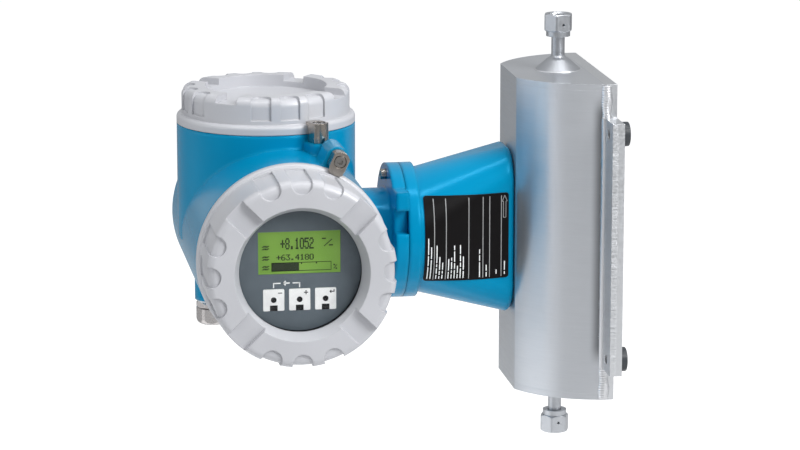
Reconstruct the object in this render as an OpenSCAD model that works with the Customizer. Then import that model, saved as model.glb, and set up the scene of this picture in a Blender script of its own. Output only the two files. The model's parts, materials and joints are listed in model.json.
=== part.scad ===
// Compact single-tube Coriolis mass flow meter with a field transmitter.
// The pipe runs vertically, and the meter hangs on a wall by the ears of its back plate.
// Frame: the origin is the centre of the four bracket holes, on the wall plane.
// +X points into the wall, -Y is the display side and +Z points up along the pipe.

/* [Sensor body] */
// Outer radius of the half-round shell
shell_r = 66; // [62:0.5:72]
// Sheet thickness of the shell
shell_t = 3; // [2:0.5:4]
// Depth from the back of the back plate to the flat front of the shell
body_d = 59.5; // [57:0.5:61]
// Thickness of each end plate
end_t = 4; // [3:0.5:6]
// Thickness of the back plate
plate_t = 8; // [6:0.5:9]
// Radius of the weld fillet between the shell and the back plate
weld_r = 2.4; // [1.5:0.1:3]

/* [Wall bracket] */
// Distance between the left and right holes
hole_span_y = 156; // [150:1:170]
// Distance between the upper and lower holes
hole_span_z = 150; // [120:1:155]
// Diameter of the bracket holes
hole_d = 6.6; // [5:0.1:9]
// Metal left outside each hole
ear_rim = 8.7; // [7:0.1:12]
// Diameter of the round spacers behind the ears
spacer_d = 16; // [14:0.5:17]
// Thickness of the round spacers
spacer_t = 5; // [3:0.5:8]

/* [Process connection] */
// Distance from the wall plane to the pipe axis
pipe_x = 31; // [29:0.5:33]
// Length from nut face to nut face
port_span = 286; // [270:1:330]
// Length of each connection outside its end plate
conn_l = 37.5; // [36:0.5:44]
// Width across the flats of the face-seal nuts
nut_af = 17.46; // [17:0.01:20]
// Height of the hexagon
nut_h = 11.5; // [11:0.5:14]
// Diameter of the round collar under the hexagon
collar_d = 16; // [14:0.5:17]
// Height of the round collar
collar_h = 3.5; // [2.5:0.5:5]
// Minor radius of the nut's thread
thread_r = 6.45; // [6.3:0.05:6.6]
// Outer diameter of the connecting stub
stub_d = 8.9; // [8:0.1:9.5]
// Bore of the connecting stub
stub_bore = 3; // [2:0.1:3.4]
// Diameter at the foot of the conical boss
boss_d = 30; // [26:0.5:34]
// Height of the conical boss
boss_h = 8.5; // [7:0.5:10]
// Turn of the upper nut, seen from above
upper_nut_turn = 13; // [0:1:59]
// Turn of the lower nut, seen from above
lower_nut_turn = 7; // [0:1:59]

/* [Measuring tube] */
// Outer diameter of the measuring tube
tube_d = 4; // [3.6:0.1:4.4]
// Wall of the measuring tube
tube_wall = 0.6; // [0.4:0.1:0.8]
// Bend radius of the measuring tube
bend_r = 9; // [8:0.5:10]
// Half length of the straight middle run
run_half = 32; // [28:1:36]
// Half distance between the clamp blocks of the carrier
clamp_half = 72; // [66:1:76]
// Distance from the middle to each pickup coil
pickup_z = 22; // [19:1:25]

/* [Neck] */
// Length of the conical neck
neck_l = 65; // [58:0.5:75]
// Diameter of the neck at its flange
neck_d = 82.5; // [76:0.5:86]
// Height of the neck at the shell
neck_h = 112; // [100:1:125]
// Width of the neck at the shell
neck_w = 55; // [48:0.5:56]
// Corner radius of the neck at the shell
neck_corner = 20; // [14:1:24]
// Rounding where the neck meets the shell
neck_round = 4; // [2:0.5:6]
// Wall of the neck casting
neck_wall = 5; // [4:0.5:7]
// Diameter of the two swivel flanges
flange_d = 90; // [88:0.5:100]
// Thickness of each swivel flange
flange_t = 8.5; // [7:0.5:11]
// Height of the nameplate
label_h = 57.4; // [50:0.5:60]
// Thickness of the nameplate
label_t = 0.5; // [0.3:0.1:0.8]

/* [Transmitter housing] */
// Length of the housing's short neck, from the swivel plane to the barrel
stem_l = 22; // [20:0.5:33]
// Outer radius of the horizontal barrel
barrel_r = 62; // [60:0.5:64]
// Height of the barrel axis over the neck axis
barrel_z = 5; // [2:0.5:7]
// Length of the barrel in front of the neck axis
barrel_front = 100; // [95:0.5:110]
// Length of the barrel behind the neck axis
barrel_back = 81; // [76:0.5:90]
// Rounding at the back of the barrel
barrel_round = 22; // [15:1:28]
// Step from the radius of the horizontal barrel in to that of the upright one
tower_step = 3.2; // [3:0.1:5]
// Height of the rim of the upright barrel over the horizontal one
tower_rise = 9; // [7:0.5:16]
// Distance of the upright barrel's axis beyond that of the horizontal one
tower_past = 4.5; // [0:0.5:6]
// Distance of the upright barrel behind the neck axis
tower_y = 2; // [0:0.5:4]
// Wall of the casting at the barrel ends
rim_wall = 9; // [8:0.5:10]
// Depth of the electronics compartment
front_depth = 46; // [44:0.5:47]
// Diameter of the short neck of the housing
stem_d = 57; // [52:0.5:62]
// Distance of each cable entry from the side of the barrel
entry_side = 19.5; // [18:0.5:22]
// Distance of the cable entries in front of the neck axis
entry_y = 10; // [6:0.5:14]
// Height of the face of the cable entries over the bottom of the barrel
entry_rise = 17; // [11:0.5:18]

/* [Covers] */
// Height of the display cover over the rim
front_h = 49; // [47:0.5:52]
// Height of the terminal cover over the rim
top_h = 24; // [22:0.5:30]
// Thickness of the cover flanges
brim_t = 6; // [5:0.5:7]
// Step from the flange of the terminal cover in to its crown
brim_step = 3.4; // [3:0.1:5]
// Step from the flange of the display cover in to its crown
front_step = 2; // [2:0.1:4]
// Rounding of the crown's shoulder
shoulder_r = 5; // [3:0.5:6]
// Depth of the grip pockets
pocket_t = 1.3; // [0.8:0.1:1.8]
// Width of the grip pockets
pocket_w = 13; // [10:0.5:14]
// Reach of the grip pockets over the face of the crown
pocket_reach = 9; // [7.5:0.5:10]
// Angle between neighbouring grip pockets
pocket_step = 20; // [18:0.5:22]
// Width of the wrench slots
slot_w = 15; // [10:0.5:17]
// Depth of the wrench slots
slot_t = 4.5; // [3:0.5:6]
// Width of the display cover's face round the window
window_edge = 23.4; // [22:0.1:25]
// Depth of the window behind the face of the cover
window_deep = 11; // [10:0.5:13]
// Radius of the recess in the terminal cover
recess_r = 40; // [36:0.5:41]
// Depth of the recess in the terminal cover
recess_t = 8; // [6:0.5:9]
// Turn of the terminal cover's wrench slots
top_turn = 10; // [0:1:89]
// Length of the covers' threaded skirt
skirt_l = 12; // [8:0.5:14]

/* [Display] */
// Width of the liquid crystal screen, as a share of the window's diameter
lcd_share = 0.674; // [0.6:0.001:0.69]
// Height of the screen, as a share of its width
lcd_aspect = 0.52; // [0.45:0.01:0.54]
// Distance between neighbouring key fields, as a share of the screen's width
key_share = 0.315; // [0.31:0.001:0.34]
// Gap between neighbouring key fields
key_gap = 2.8; // [2:0.1:4]
// Diameter of the optical key lenses
lens_d = 3.5; // [2.5:0.1:4.5]

/* [Clamps] */
// Distance of the clamp screws outside the cover flanges
claw_out = 7.7; // [7.4:0.1:8.4]
// Width of the clamps
claw_w = 10.6; // [9:0.1:12]
// Reach of the clamps' round ends behind their screws
claw_end = 6.2; // [5.4:0.1:7]
// Reach of the clamp lips over the cover flanges
claw_lip = 1.6; // [1:0.1:1.8]
// Height of the clamps over the rim
claw_top = 8.7; // [8.2:0.1:9.5]
// Place of the display cover's clamp on the rim, from the right
front_claw_at = 65; // [55:1:75]
// Place of the terminal cover's clamp on the rim, from the front
top_claw_at = 24; // [20:1:30]

/* [Cable glands] */
// Width across the flats of the glands
gland_af = 19.6; // [19:0.1:21]
// Radius of the gland threads
gland_r = 8; // [7.5:0.1:8.4]
// Radius of the cable hole
cable_r = 4.5; // [3:0.1:5]
// Length of the gland nut
gland_nut_l = 11; // [10:0.5:14]

/* [Hidden] */
$fn = 96;

// Clearance between parts that turn on each other, and between seated curved faces
gap = 0.3;
// Clearance of a glued or welded part in its hole
fit_gap = 0.1;
// Extra length that lets a cut run past a face
cut = 1;

// Sensor body, from the wall plane towards the display side of the meter
plate_back = -spacer_t;
plate_front = plate_back - plate_t;
flat_x = plate_back - body_d;
half_h = port_span / 2 - conn_l;
cavity_h = half_h - end_t;
ear_w = hole_span_y + hole_d + 2 * ear_rim;
ear_h = hole_span_z + hole_d + 2 * ear_rim * 0.6;

// Pipe line and its fittings, as heights over the middle of the meter
boss_z = half_h;
stub_z = boss_z + boss_h;
port_z = port_span / 2;
hex_z = port_z - nut_h;
collar_z = hex_z - collar_h;
nut_wall = 2;
head_z = hex_z + nut_wall + gap;
head_t = 3.2;
head_r = thread_r - gap;
boss_tip_r = stub_d / 2 + 3.2;
spigot_r = tube_d / 2 + 5;
spigot_l = 6;
seal_r = 4.3;
seal_t = 0.8;
port_groove_t = 1.5;
vent_d = 1.8;
relief_r = thread_r + 0.5;
relief_l = gap + head_t + 0.5;

// Measuring tube, clamped on the pipe axis and bowed away from the wall
bow_x = -pipe_x - 2 * bend_r;
bend_z = run_half + bend_r;
tube_end = cavity_h - spigot_l + 3;
carrier_w = 30;
carrier_t = 9;
clamp_t = 12;
coil_r = 7;
pickup_r = 5.5;
magnet_r = 3.2;
magnet_l = 10;
coil_bore = 4;
chip_t = 3;
chip_w = 4;
chip_l = 7;
coil_back = plate_front - carrier_t;
coil_front = bow_x + tube_d / 2 + 5;
wire_r = 12;
plug_r = wire_r - fit_gap;
plug_lip = 2;
pin_count = 7;
pin_r = 0.6;
pin_l = 9;

// Neck, between the shell and the swivel plane
neck_x = flat_x - neck_l;
root_flange_x = neck_x - flange_t;
swivel_x = root_flange_x;
stem_face = swivel_x - gap;
spigot_neck_r = stem_d / 2 - 3.5;
spigot_neck_l = 10;
groove_r = 34;
groove_w = 3.4;
groove_t = 2.8;
neck_seal_r = 1.3;
label_left = neck_x + 2.5;
label_right = flat_x - neck_round - 0.4;
label_round = 2;
label_lift = 0.05;

// Transmitter housing
reach = barrel_r + stem_l;
tower_r = barrel_r - tower_step;
tower_top = barrel_z + barrel_r + tower_rise;
entry_x = barrel_r - entry_side;
entry_z = barrel_r - barrel_z - entry_rise;
barrel_x = swivel_x - reach;
tower_x = barrel_x - tower_past;
barrel_l = barrel_front + barrel_back;
rim_bore = barrel_r - rim_wall - 1;
tower_bore = tower_r - rim_wall + 0.6;
room_r = barrel_r - 8;
room_floor = -20;
partition_y = barrel_front - front_depth;
room_front_y = -partition_y + 8;
room_back_y = barrel_back - 8;
ring_back = stem_face - flange_t;
notch_h = 16;
notch_z = 6;
notch_t = 8;
lug_h = 12;
lug_t = 1.2;
bolt_r = 38;
bolt_head_r = 3.5;
bolt_shank_r = 2;
bolt_head_t = 4;
shelf_w = 60;
shelf_l = 30;
shelf_t = 10;
shelf_z = 30;
block_w = 44;
block_d = 14;
block_h = 16;
clamp_count = 8;
clamp_r = 1.6;
wire_hole = 3.5;
block_x = block_w / 2 + abs(tower_x - barrel_x) + 0.5;
block_y = tower_y - sqrt(pow(tower_bore, 2) - pow(block_x, 2)) + block_d / 2 + 0.5;
entry_boss_r = 11.5;
entry_spot_r = gland_af / 2 + 2.5;
seat_groove_t = 2.4;
seat_seal_r = 1.1;

// Electronics, in the frame of the front rim: depth is negative inside the barrel
basket_r = rim_bore - 2;
basket_t = 3.4;
basket_post_r = 4;
basket_post_at = 38;
basket_bottom = -front_depth + gap;
basket_top = -2;
front_disc_t = 3.7;
board_t = 1.6;
board_gap = 18;
board_w = 62;
board_slot = 1.2;

// Covers, in the frame of their rim
seat = gap;
front_crown_r = barrel_r - front_step;
window_r = barrel_r - window_edge;
top_crown_r = tower_r - brim_step;
skirt_gap = gap;
skirt_wall = 5;
front_skirt_r = rim_bore - skirt_gap;
top_skirt_r = tower_bore - skirt_gap;
glass_t = 4;
glass_r = window_r + 3.1;
gasket_t = 0.6;
lip_z = front_h - window_deep;
glass_z = lip_z - gasket_t - glass_t;
ring_t = 3;
ring_in = window_r + 1;
cover_room_r = front_skirt_r - skirt_wall;
window_flare = 4;
cap_wall = 4;
cap_face = top_h - recess_t;
slots_front = 45;

// Display module, in the frame of the front rim
case_r = cover_room_r - 2;
hub_r = 20;
hub_z = basket_top + front_disc_t + gap;
case_z = hub_z + 6;
case_top = glass_z - ring_t - 0.7;
face_r = ring_in - 0.6;
face_t = 2;
face_top = glass_z - 0.7;
face_z = face_top - face_t;
inlay = 0.3;
field_t = 0.5;
lens_drop = 1.5;
lcd_w = 2 * window_r * lcd_share;
lcd_h = lcd_w * lcd_aspect;
lcd_y = lcd_w * 0.212;
key_pitch = lcd_w * key_share;
key_w = key_pitch - key_gap;
key_h = key_w + 0.5;
key_y = lcd_w * 0.365;
mark_w = key_w * 0.36;
mark_h = key_h * 0.26;

// Clamps, in the frame of their screw at the rim
claw_r = claw_out - gap;
claw_base = -4;
claw_screw_r = 2;
claw_head_r = 3.5;
claw_sink_r = 4.1;
claw_sink = 4;
claw_boss_r = 7;
// the front boss runs back until it meets the boss of the upper clamp
front_boss_l = barrel_front + claw_base - gap
    - ((tower_r + claw_out) * cos(top_claw_at) - tower_y + claw_r + gap);

// Cable glands, in the frame of the entry face, with depth downwards
gland_seal_t = 1.5;
gland_seal_r = gland_af / 2 + 0.3;
gland_hex_l = 4;
gland_thread_l = 12;
gland_nose = 7;
nut_start = gland_seal_t + gland_hex_l + gap;
grommet_r = gland_r - 2;
grommet_start = 5;
grommet_end = gland_seal_t + gland_hex_l + gland_nose + 1.2;

// ---- Shared shapes ----

// Solid of revolution with a rounded upper edge, standing on z = 0
module soft_disc(r, h, round_r) {
    rotate_extrude() {
        square([r - round_r, h]);
        square([r, h - round_r]);
        translate([r - round_r, h - round_r]) circle(r = round_r);
    }
}

// Flat ring between two radii, standing on z = 0
module ring(r_out, r_in, h) {
    difference() {
        cylinder(r = r_out, h = h);
        translate([0, 0, -cut]) cylinder(r = r_in, h = h + 2 * cut);
    }
}

// Round sealing cord laid in a circle, centred on z = 0
module cord_ring(r, cord_r) {
    rotate_extrude() translate([r, 0]) circle(r = cord_r, $fn = 24);
}

// Hexagonal prism by its width across the flats, with both ends of its corners turned off
module turned_hex(af, h, bevel) {
    corner = af / (2 * cos(30));
    intersection() {
        cylinder(r = corner, h = h, $fn = 6);
        rotate_extrude()
            polygon([[0, 0], [af / 2, 0], [af / 2 + bevel, bevel], [af / 2 + bevel, h - bevel],
                [af / 2, h], [0, h]]);
    }
}

// Rectangle with round corners, centred
module round_rect(w, h, r) {
    square([w - 2 * r, h], center = true);
    square([w, h - 2 * r], center = true);
    for (x = [-1, 1], y = [-1, 1])
        translate([x * (w / 2 - r), y * (h / 2 - r)]) circle(r = r);
}

// The four bracket holes' places, as the children's origins, facing the wall
module at_brackets() {
    for (y = [-1, 1], z = [-1, 1])
        translate([0, y * hole_span_y / 2, z * hole_span_z / 2]) rotate([0, 90, 0]) children();
}

// The pipe axis, with the origin at the middle of the meter
module at_pipe() {
    translate([-pipe_x, 0, 0]) children();
}

// The swivel axis: local z runs along +X, with the origin on the swivel plane
module at_swivel() {
    translate([swivel_x, 0, 0]) rotate([0, 90, 0]) children();
}

// The front rim of the barrel: local z points at the reader, local y points up
module at_front() {
    translate([barrel_x, -barrel_front, barrel_z]) rotate([90, 0, 0]) children();
}

// The rim of the upright barrel: local z points up, local -y points to the front
module at_top() {
    translate([tower_x, tower_y, tower_top]) children();
}

// A cable entry on the left (-1) or right (1): local z points down, out of the housing
module at_entry(side) {
    translate([barrel_x + side * entry_x, -entry_y, -entry_z]) rotate([180, 0, 0]) children();
}

// The display cover's clamp screw: local x points at the cover's axis
module at_front_claw() {
    at_front() rotate(front_claw_at) translate([barrel_r + claw_out, 0, 0])
        rotate(180) children();
}

// The terminal cover's clamp screw: local x points at the cover's axis
module at_top_claw() {
    at_top() rotate(top_claw_at - 90) translate([tower_r + claw_out, 0, 0])
        rotate(180) children();
}

// ---- Sensor body ----

// Outline of the shell in plan, grown by a distance: a half circle cut by a flat
module shell_plan(grow = 0) {
    intersection() {
        translate([plate_back, 0]) circle(r = shell_r + grow);
        translate([flat_x - grow, -shell_r - grow])
            square([plate_front - flat_x + grow, 2 * (shell_r + grow)]);
    }
}

module sensor_shell() {
    color("silver") difference() {
        translate([0, 0, -cavity_h]) linear_extrude(2 * cavity_h) difference() {
            shell_plan();
            intersection() {
                translate([plate_back, 0]) circle(r = shell_r - shell_t);
                translate([flat_x + shell_t, -shell_r]) square([body_d, 2 * shell_r]);
            }
        }
        translate([flat_x - cut, 0, 0]) rotate([0, 90, 0])
            cylinder(r = wire_r, h = shell_t + 2 * cut);
    }
}

module end_plates() {
    color("gainsboro") for (side = [0, 1]) mirror([0, 0, side]) difference() {
        translate([0, 0, cavity_h]) linear_extrude(end_t) shell_plan();
        at_pipe() translate([0, 0, cavity_h - cut])
            cylinder(r = spigot_r + fit_gap, h = end_t + 2 * cut);
    }
}

module back_plate() {
    color("lightgray") difference() {
        union() {
            translate([plate_front, -shell_r, -half_h]) cube([plate_t, 2 * shell_r, 2 * half_h]);
            translate([plate_front, -ear_w / 2, -ear_h / 2]) cube([plate_t, ear_w, ear_h]);
        }
        at_brackets() translate([0, 0, plate_front - cut])
            cylinder(d = hole_d, h = plate_t + 2 * cut);
    }
}

// Fillet welds in the corners between the shell and the ears
module weld_beads() {
    color("white") for (side = [0, 1]) mirror([0, side, 0])
        translate([0, 0, -ear_h / 2]) linear_extrude(ear_h) difference() {
            translate([plate_front, shell_r]) circle(r = weld_r, $fn = 32);
            shell_plan(0.02);
            translate([plate_front - 0.02, 0]) square([plate_t, ear_w]);
        }
}

module wall_spacers() {
    color([0.15, 0.16, 0.18]) at_brackets() translate([0, 0, plate_back]) difference() {
        soft_disc(spacer_d / 2, spacer_t, 0.8);
        translate([0, 0, -cut]) cylinder(d = hole_d, h = spacer_t + 2 * cut);
    }
}

// ---- Process connection ----

// Conical boss, connecting stub and sealing head, turned in one piece
module process_stub() {
    at_pipe() difference() {
        rotate_extrude() polygon([
            [0, cavity_h - spigot_l], [spigot_r, cavity_h - spigot_l], [spigot_r, boss_z],
            [boss_d / 2, boss_z], [boss_d / 2, boss_z + 0.6], [boss_tip_r, stub_z - 1.4],
            [stub_d / 2 + 1, stub_z], [stub_d / 2, stub_z + 1], [stub_d / 2, head_z],
            [head_r, head_z], [head_r, head_z + head_t], [0, head_z + head_t]]);
        translate([0, 0, cavity_h - spigot_l - cut])
            cylinder(d = stub_bore, h = head_z + head_t - cavity_h + spigot_l + 2 * cut);
        translate([0, 0, cavity_h - spigot_l - cut])
            cylinder(r = tube_d / 2 + fit_gap, h = 3 + cut + fit_gap);
        translate([0, 0, head_z + head_t - port_groove_t])
            ring(seal_r + seal_t + fit_gap, seal_r - seal_t - fit_gap, port_groove_t + cut);
    }
}

module upper_stub() {
    color("silver") process_stub();
}

module lower_stub() {
    color("silver") mirror([0, 0, 1]) process_stub();
}

// Female nut: it turns freely behind the sealing head
module process_nut(turn) {
    at_pipe() rotate(turn) difference() {
        union() {
            translate([0, 0, collar_z]) cylinder(d = collar_d, h = collar_h + cut);
            translate([0, 0, hex_z]) turned_hex(nut_af, nut_h, 1);
        }
        translate([0, 0, collar_z - cut]) cylinder(d = stub_d + 2 * gap, h = nut_h + collar_h);
        translate([0, 0, hex_z + nut_wall]) cylinder(r = relief_r, h = relief_l);
        translate([0, 0, hex_z + nut_wall]) cylinder(r = thread_r, h = nut_h - nut_wall - 1);
        translate([0, 0, port_z - 1]) cylinder(r1 = thread_r, r2 = thread_r + 1, h = 1);
        translate([0, 0, port_z - 1]) cylinder(r = thread_r, h = 1 + cut);
        translate([0, 0, hex_z + nut_h * 0.4]) rotate([90, 0, 0])
            cylinder(d = vent_d, h = nut_af);
    }
}

module upper_nut() {
    color("darkgray") process_nut(upper_nut_turn);
}

module lower_nut() {
    color("darkgray") mirror([0, 0, 1]) process_nut(lower_nut_turn);
}

module port_seals() {
    color([0.1, 0.1, 0.1]) at_pipe() for (side = [0, 1]) mirror([0, 0, side])
        translate([0, 0, head_z + head_t - port_groove_t + seal_t + fit_gap / 2])
            cord_ring(seal_r, seal_t);
}

// ---- Measuring system inside the sealed body ----

// Line of the measuring tube as a solid of the given radius, longer by an extra at both ends
module tube_line(r, extra) {
    for (side = [0, 1]) mirror([0, 0, side]) {
        at_pipe() translate([0, 0, bend_z + bend_r])
            cylinder(r = r, h = tube_end + extra - bend_z - bend_r);
        translate([-pipe_x - bend_r, 0, bend_z + bend_r]) rotate([90, 0, 0])
            rotate_extrude(angle = -90) translate([bend_r, 0]) circle(r = r);
        translate([bow_x + bend_r, 0, bend_z - bend_r]) rotate([90, 0, 0]) rotate(90)
            rotate_extrude(angle = 90) translate([bend_r, 0]) circle(r = r);
    }
    translate([bow_x, 0, -run_half]) cylinder(r = r, h = 2 * run_half);
}

module measuring_tube() {
    color("gainsboro") difference() {
        tube_line(tube_d / 2, 0);
        tube_line(tube_d / 2 - tube_wall, cut);
    }
}

// Stiff bar on the back plate with two clamp blocks that hold the tube's ends
module tube_carrier() {
    color("dimgray") difference() {
        union() {
            translate([plate_front - carrier_t, -carrier_w / 2, -clamp_half - clamp_t / 2])
                cube([carrier_t, carrier_w, 2 * clamp_half + clamp_t]);
            for (side = [-1, 1])
                translate([-pipe_x - 8, -carrier_w / 3, side * clamp_half - clamp_t / 2])
                    cube([pipe_x + plate_front + 8, carrier_w * 2 / 3, clamp_t]);
        }
        at_pipe() for (side = [-1, 1]) translate([0, 0, side * clamp_half - clamp_t])
            cylinder(r = tube_d / 2 + fit_gap, h = 2 * clamp_t);
    }
}

// Hollow coil on a foot, with local z pointing at the tube
module coil(r) {
    difference() {
        cylinder(r = r, h = coil_back - coil_front);
        translate([0, 0, 4]) cylinder(r = coil_bore, h = coil_back - coil_front);
    }
}

module drive_coil() {
    color("chocolate") translate([coil_back, 0, 0]) rotate([0, -90, 0]) coil(coil_r);
}

module pickup_coils() {
    color("chocolate") for (side = [-1, 1])
        translate([coil_back, 0, side * pickup_z]) rotate([0, -90, 0]) coil(pickup_r);
}

// Magnets brazed to the tube, reaching into the coils
module tube_magnets() {
    color("gray") for (z = [-pickup_z, 0, pickup_z]) difference() {
        translate([bow_x, 0, z]) rotate([0, 90, 0]) cylinder(r = magnet_r, h = magnet_l);
        translate([bow_x, 0, z - coil_r]) cylinder(r = tube_d / 2 + fit_gap, h = 2 * coil_r);
        translate([bow_x - cut, -coil_r, z - coil_r]) cube([1 + cut, 2 * coil_r, 2 * coil_r]);
    }
}

module temperature_sensor() {
    color("white") at_pipe()
        translate([-tube_d / 2 - fit_gap - chip_t, -chip_w / 2, clamp_half - clamp_t / 2 - chip_l - 2])
            cube([chip_t, chip_w, chip_l]);
}

// Sealed plug with pins that leads the signals out of the sensor body
module signal_feedthrough() {
    color("goldenrod") translate([flat_x, 0, 0]) rotate([0, 90, 0]) {
        cylinder(r = plug_r, h = shell_t + cut);
        translate([0, 0, shell_t]) cylinder(r = wire_r + plug_lip, h = plug_lip);
        for (i = [0 : pin_count - 1]) rotate(i * 360 / pin_count)
            translate([wire_r * 0.6, 0, 1 - pin_l]) cylinder(r = pin_r, h = pin_l, $fn = 16);
    }
}

// ---- Neck ----

// Outside of the neck grown by a distance: a circle lofted into a rounded rectangle
module neck_loft(grow, x0, x1, round_r) {
    steps = round_r > 0 ? [0, 30, 60, 90] : [0];
    hull() {
        translate([x0, 0, 0]) rotate([0, 90, 0]) cylinder(d = neck_d + 2 * grow, h = 0.01);
        for (a = steps) translate([x1 - round_r * (1 - sin(a)) - 0.01, 0, 0])
            rotate([0, 90, 0]) linear_extrude(0.01)
                round_rect(neck_h + 2 * grow - 2 * round_r * (1 - cos(a)),
                    neck_w + 2 * grow - 2 * round_r * (1 - cos(a)), neck_corner);
    }
}

module neck_cone() {
    color([0, 0.55, 0.78]) difference() {
        union() {
            neck_loft(0, neck_x, flat_x, neck_round);
            translate([root_flange_x, 0, 0]) rotate([0, 90, 0])
                cylinder(d = flange_d, h = flange_t);
            translate([root_flange_x - spigot_neck_l, 0, 0]) rotate([0, 90, 0])
                cylinder(r = spigot_neck_r, h = spigot_neck_l + cut);
        }
        neck_loft(-neck_wall, neck_x + 4, flat_x - neck_wall, 0);
        translate([root_flange_x - spigot_neck_l - cut, 0, 0]) rotate([0, 90, 0])
            cylinder(r = spigot_neck_r - 4, h = spigot_neck_l + flange_t + 6);
        translate([flat_x - neck_wall - cut, 0, 0]) rotate([0, 90, 0])
            cylinder(r = wire_r, h = neck_wall + 2 * cut);
        at_swivel() translate([0, 0, -cut])
            ring(groove_r + groove_w / 2, groove_r - groove_w / 2, groove_t + cut);
    }
}

module nameplate() {
    color([0.08, 0.08, 0.08]) difference() {
        intersection() {
            neck_loft(label_lift + label_t, neck_x, flat_x, neck_round);
            translate([(label_left + label_right) / 2, 0, 0]) rotate([90, 0, 0])
                linear_extrude(neck_d)
                    round_rect(label_right - label_left, label_h, label_round);
        }
        neck_loft(label_lift, neck_x, flat_x, neck_round);
    }
}

module swivel_seal() {
    color([0.1, 0.1, 0.1]) at_swivel() translate([0, 0, neck_seal_r])
        cord_ring(groove_r, neck_seal_r);
}

// ---- Transmitter housing ----

// Boss, rib and web that carry one clamp, standing out of the barrel beside the rim
module claw_boss(l) {
    translate([0, 0, claw_base - gap - l]) {
        cylinder(r = claw_boss_r, h = l);
        translate([0, -claw_boss_r, 0]) cube([claw_out + 6, 2 * claw_boss_r, l]);
    }
}

module housing_outside() {
    at_front() translate([0, 0, -barrel_l]) rotate_extrude() {
        translate([0, barrel_round]) square([barrel_r, barrel_l - barrel_round]);
        square([barrel_r - barrel_round, barrel_l]);
        translate([barrel_r - barrel_round, barrel_round]) circle(r = barrel_round);
    }
    translate([tower_x, tower_y, 0]) cylinder(r = tower_r, h = tower_top);
    at_swivel() {
        translate([0, 0, -gap - flange_t]) cylinder(d = flange_d, h = flange_t);
        translate([0, 0, -reach + barrel_r / 2]) cylinder(d = stem_d, h = reach - barrel_r / 2 - gap - 1);
    }
    // bayonet lug on the front of the swivel flange
    translate([ring_back, -flange_d / 2 - lug_t, notch_z + notch_h])
        cube([flange_t, flange_d / 2, lug_h]);
    for (side = [-1, 1]) at_entry(side)
        translate([0, 0, -entry_z / 2]) cylinder(r = entry_boss_r, h = entry_z / 2);
    at_front_claw() claw_boss(front_boss_l);
    at_top_claw() claw_boss(tower_top - barrel_z - barrel_r * 0.8);
}

module housing_inside() {
    // electronics compartment, open to the front
    at_front() translate([0, 0, -front_depth]) cylinder(r = rim_bore, h = front_depth + cut);
    // terminal compartment, open to the top
    translate([tower_x, tower_y, room_floor]) cylinder(r = tower_bore, h = tower_top - room_floor + cut);
    difference() {
        translate([barrel_x, room_front_y, barrel_z]) rotate([-90, 0, 0])
            cylinder(r = room_r, h = room_back_y - room_front_y);
        translate([barrel_x - shelf_w / 2, room_front_y - cut, shelf_z - shelf_t])
            cube([shelf_w, shelf_l, shelf_t]);
    }
}

module housing_cuts() {
    // grooves for the cover seals
    at_front() translate([0, 0, -seat_groove_t])
        ring(rim_bore + 5.5, rim_bore + 2.9, seat_groove_t + cut);
    at_top() translate([0, 0, -seat_groove_t])
        ring(tower_bore + 5.3, tower_bore + 2.7, seat_groove_t + cut);
    // guide for the spigot of the neck, and the way for the wires
    at_swivel() {
        translate([0, 0, -gap - spigot_neck_l - 1])
            cylinder(r = spigot_neck_r + gap, h = spigot_neck_l + 2 + cut);
        translate([0, 0, -reach + barrel_r / 2]) cylinder(r = spigot_neck_r - 4, h = reach);
        for (side = [-1, 1]) translate([side * bolt_r, 0, -gap - flange_t - cut])
            cylinder(r = bolt_shank_r + fit_gap, h = flange_t + 2 * cut);
    }
    // gap in the swivel flange through which the bayonet shows
    translate([ring_back - cut, -flange_d / 2 - cut, notch_z])
        cube([flange_t + 2 * cut, notch_t + cut, notch_h]);
    // threaded cable entries, each with a spot face for its gland
    for (side = [-1, 1]) at_entry(side) {
        translate([0, 0, -entry_z / 2]) cylinder(r = gland_r + fit_gap, h = entry_z);
        cylinder(r = entry_spot_r, h = barrel_r);
    }
    at_front_claw() claw_screw_hole();
    at_top_claw() claw_screw_hole();
}

// Threaded hole under a clamp
module claw_screw_hole() {
    translate([0, 0, -14]) cylinder(r = claw_screw_r + fit_gap, h = 14);
}

module transmitter_housing() {
    color([0, 0.55, 0.78]) difference() {
        union() {
            difference() {
                housing_outside();
                housing_inside();
            }
            // cast shelf for the terminals, on the wall between the compartments
            intersection() {
                translate([barrel_x - shelf_w / 2, -partition_y + 1, shelf_z - shelf_t])
                    cube([shelf_w, shelf_l, shelf_t]);
                translate([tower_x, tower_y, 0]) cylinder(r = tower_r - 2, h = tower_top);
            }
        }
        housing_cuts();
    }
}

module swivel_screws() {
    color("silver") at_swivel() for (side = [-1, 1]) translate([side * bolt_r, 0, -gap - flange_t])
        rotate([180, 0, 0]) difference() {
            union() {
                soft_disc(bolt_head_r, bolt_head_t, 0.6);
                translate([0, 0, -flange_t + 1]) cylinder(r = bolt_shank_r, h = flange_t);
            }
            translate([0, 0, bolt_head_t - 2]) cylinder(r = 1.7, h = 2 + cut, $fn = 6);
        }
}

// ---- Electronics ----

module electronics_carrier() {
    color([0.2, 0.22, 0.24]) at_front() difference() {
        union() {
            translate([0, 0, basket_bottom]) cylinder(r = basket_r, h = basket_t);
            for (a = [45 : 90 : 315]) rotate(a) translate([basket_post_at, 0, basket_bottom])
                cylinder(r = basket_post_r, h = basket_top - basket_bottom + 1);
            translate([0, 0, basket_top]) cylinder(r = cover_room_r - 1, h = front_disc_t);
        }
        for (i = [-1, 0, 1]) translate([-board_w / 2 - gap, i * board_gap - board_t / 2 - fit_gap,
            basket_bottom + basket_t - board_slot])
            cube([board_w + 2 * gap, board_t + 2 * fit_gap, basket_t]);
    }
}

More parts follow.
